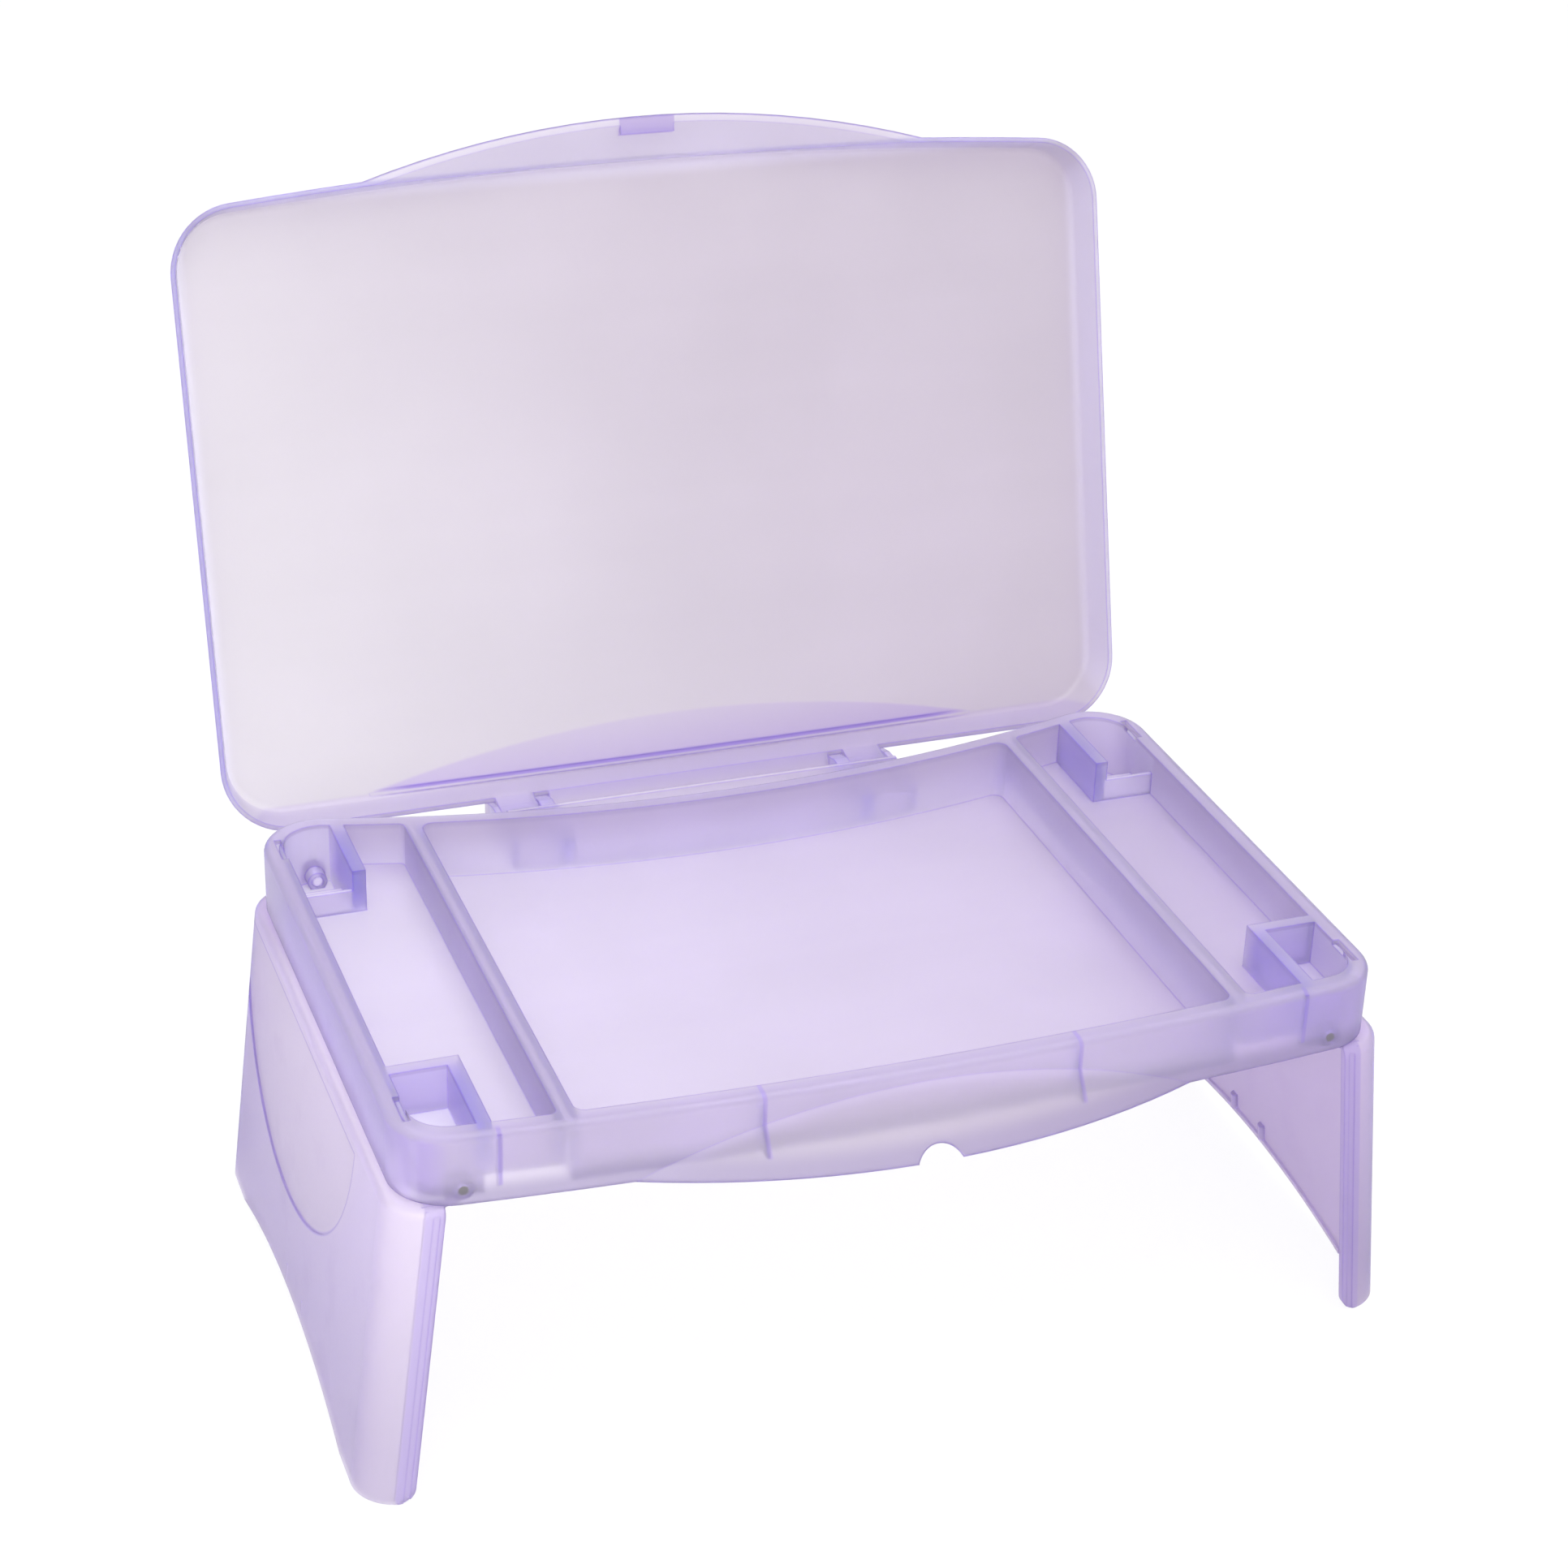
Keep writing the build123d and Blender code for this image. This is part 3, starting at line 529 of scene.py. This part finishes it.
def translucent_plastic(name, colour, edge_shade_colour, roughness, clearness, marks=None):
    """Tinted plastic with a satin face; where it is clear, it is deeper in colour the thicker it is."""
    material = bpy.data.materials.new(name)
    material.use_nodes = True
    tree = material.node_tree
    texture = place_group(
        tree, mould_texture, {"Colour": colour, "Drift": colour_drift, "Roughness": roughness},
    )
    face_colour = texture.outputs["Colour"]
    if marks is not None:
        face_colour = place_group(tree, marks, {"Colour": face_colour}).outputs["Colour"]
    edges = place_group(
        tree, rounded_edge_shade, {"Face Colour": face_colour, "Edge Shade Colour": edge_shade_colour},
    )
    bump = tree.nodes.new("ShaderNodeBump")
    fill(bump, {
        "Strength": grain_strength, "Distance": grain_height,
        "Height": texture.outputs["Height"], "Normal": edges.outputs["Normal"],
    })
    fill(tree.nodes["Principled BSDF"], {
        "Base Color": edges.outputs["Colour"],
        "Roughness": texture.outputs["Roughness"],
        "Transmission Weight": clearness,
        "IOR": plastic_ior,
        "Coat Weight": coat_weight,
        "Coat Roughness": coat_roughness,
        "Normal": bump.outputs["Normal"],
    })
    if clearness > 0:
        depth = tree.nodes.new("ShaderNodeVolumeAbsorption")
        fill(depth, {"Color": depth_colour, "Density": depth_density})
        fill(tree.nodes["Material Output"], {"Volume": depth.outputs["Volume"]})
    return material


def dress(nodes, material):
    """Gives CAD nodes their material."""
    for node in nodes:
        for part_slot in frame["nodes"][node].material_slots:
            part_slot.material = material


def place_camera():
    """Camera at the photograph's viewing angle."""
    forward = Vector((
        math.sin(camera_yaw) * math.cos(camera_pitch),
        math.cos(camera_yaw) * math.cos(camera_pitch),
        -math.sin(camera_pitch),
    ))
    level_right = Vector((math.cos(camera_yaw), -math.sin(camera_yaw), 0.0))
    level_down = forward.cross(level_right)
    right = level_right * math.cos(camera_roll) + level_down * math.sin(camera_roll)
    down = level_down * math.cos(camera_roll) - level_right * math.sin(camera_roll)
    turn = Matrix((right, -down, -forward)).transposed().to_4x4()
    data = bpy.data.cameras.new("camera")
    data.lens = camera_lens
    data.sensor_width = sensor_width
    data.dof.use_dof = False
    camera = bpy.data.objects.new("camera", data)
    camera.matrix_world = Matrix.Translation(camera_place) @ turn
    bpy.context.collection.objects.link(camera)
    bpy.context.scene.camera = camera


def seen_rays(tree, rays):
    """Mask of the rays that show the background, straight or by way of gloss and clear plastic."""
    clear = reckon(
        tree, "MAXIMUM", rays.outputs["Is Glossy Ray"], rays.outputs["Is Transmission Ray"],
    )
    return reckon(tree, "MAXIMUM", rays.outputs["Is Camera Ray"], clear)


def pale_floor():
    """Round white floor that shows only a soft shadow, and nothing to an eye below it."""
    bpy.ops.mesh.primitive_circle_add(
        vertices=floor_sides, radius=floor_radius, fill_type="NGON", location=(0, 0, 0),
    )
    floor = bpy.context.object
    floor.name = "floor"
    material = bpy.data.materials.new("floor_white")
    material.use_nodes = True
    tree = material.node_tree
    shader = tree.nodes["Principled BSDF"]
    fill(shader, {
        "Base Color": floor_colour, "Roughness": floor_roughness, "Specular IOR Level": floor_gloss,
    })
    rays = tree.nodes.new("ShaderNodeLightPath")
    face = tree.nodes.new("ShaderNodeNewGeometry")
    x, _, _ = axes_of(tree, face.outputs["Position"])
    dim = product(tree, ramp(tree, x, glow_fall), rays.outputs["Is Transmission Ray"])
    glow = tree.nodes.new("ShaderNodeEmission")
    fill(glow, {"Color": mix_colour(tree, dim, glow_white, glow_mauve), "Strength": floor_glow})
    share = product(tree, seen_rays(tree, rays), floor_glow_share)
    lit = mix_shader(tree, share, shader.outputs["BSDF"], glow.outputs["Emission"])
    clear_below = tree.nodes.new("ShaderNodeBsdfTransparent")
    one_sided = mix_shader(tree, face.outputs["Backfacing"], lit, clear_below.outputs["BSDF"])
    fill(tree.nodes["Material Output"], {"Surface": one_sided})
    floor.data.materials.append(material)


def soft_light(name, place, aim, size, power):
    """Large square lamp that points at a place on the object."""
    data = bpy.data.lights.new(name, "AREA")
    data.shape = "SQUARE"
    data.size = size
    data.energy = power
    lamp = bpy.data.objects.new(name, data)
    lamp.location = place
    lamp.rotation_euler = (Vector(aim) - Vector(place)).to_track_quat("-Z", "Y").to_euler()
    bpy.context.collection.objects.link(lamp)


def studio():
    """White world and soft lamps."""
    world = bpy.data.worlds.new("studio")
    bpy.context.scene.world = world
    world.use_nodes = True
    tree = world.node_tree
    rays = tree.nodes.new("ShaderNodeLightPath")
    seen = seen_rays(tree, rays)
    fill(tree.nodes["Background"], {
        "Color": world_colour,
        "Strength": reckon(tree, "MULTIPLY_ADD", seen, 1.0 - world_level, world_level),
    })
    soft_light("key_lamp", place=(-0.75, -1.15, 0.95), aim=(-0.15, 0.15, 0.35), size=0.8, power=5.0)
    soft_light("top_lamp", place=(0.1, -0.3, 1.6), aim=(0.05, -0.05, 0.15), size=1.2, power=15.0)


place_camera()
mould_texture = mould_texture_group()
rounded_edge_shade = rounded_edge_shade_group()
tray_plastic = translucent_plastic(
    "tray_plastic", tray_colour, tray_shade_line_colour, satin_roughness, tray_clearness, tray_marks_group(),
)
lid_plastic = translucent_plastic(
    "lid_plastic", lid_colour, lid_edge_shade_colour, satin_roughness, lid_clearness, lid_marks_group(),
)
leg_plastic = translucent_plastic(
    "leg_plastic", leg_colour, leg_shade_line_colour, satin_roughness, leg_clearness, leg_marks_group(),
)
peg_plastic = translucent_plastic(
    "peg_plastic", peg_colour, tray_shade_line_colour, peg_roughness, peg_clearness,
)
dress(["tray"], tray_plastic)
dress(["lid"], lid_plastic)
dress(["left_leg", "right_leg"], leg_plastic)
dress([node for node in frame["nodes"] if "pin" in node], peg_plastic)
pale_floor()
studio()
bpy.context.scene.view_settings.view_transform = "Standard"
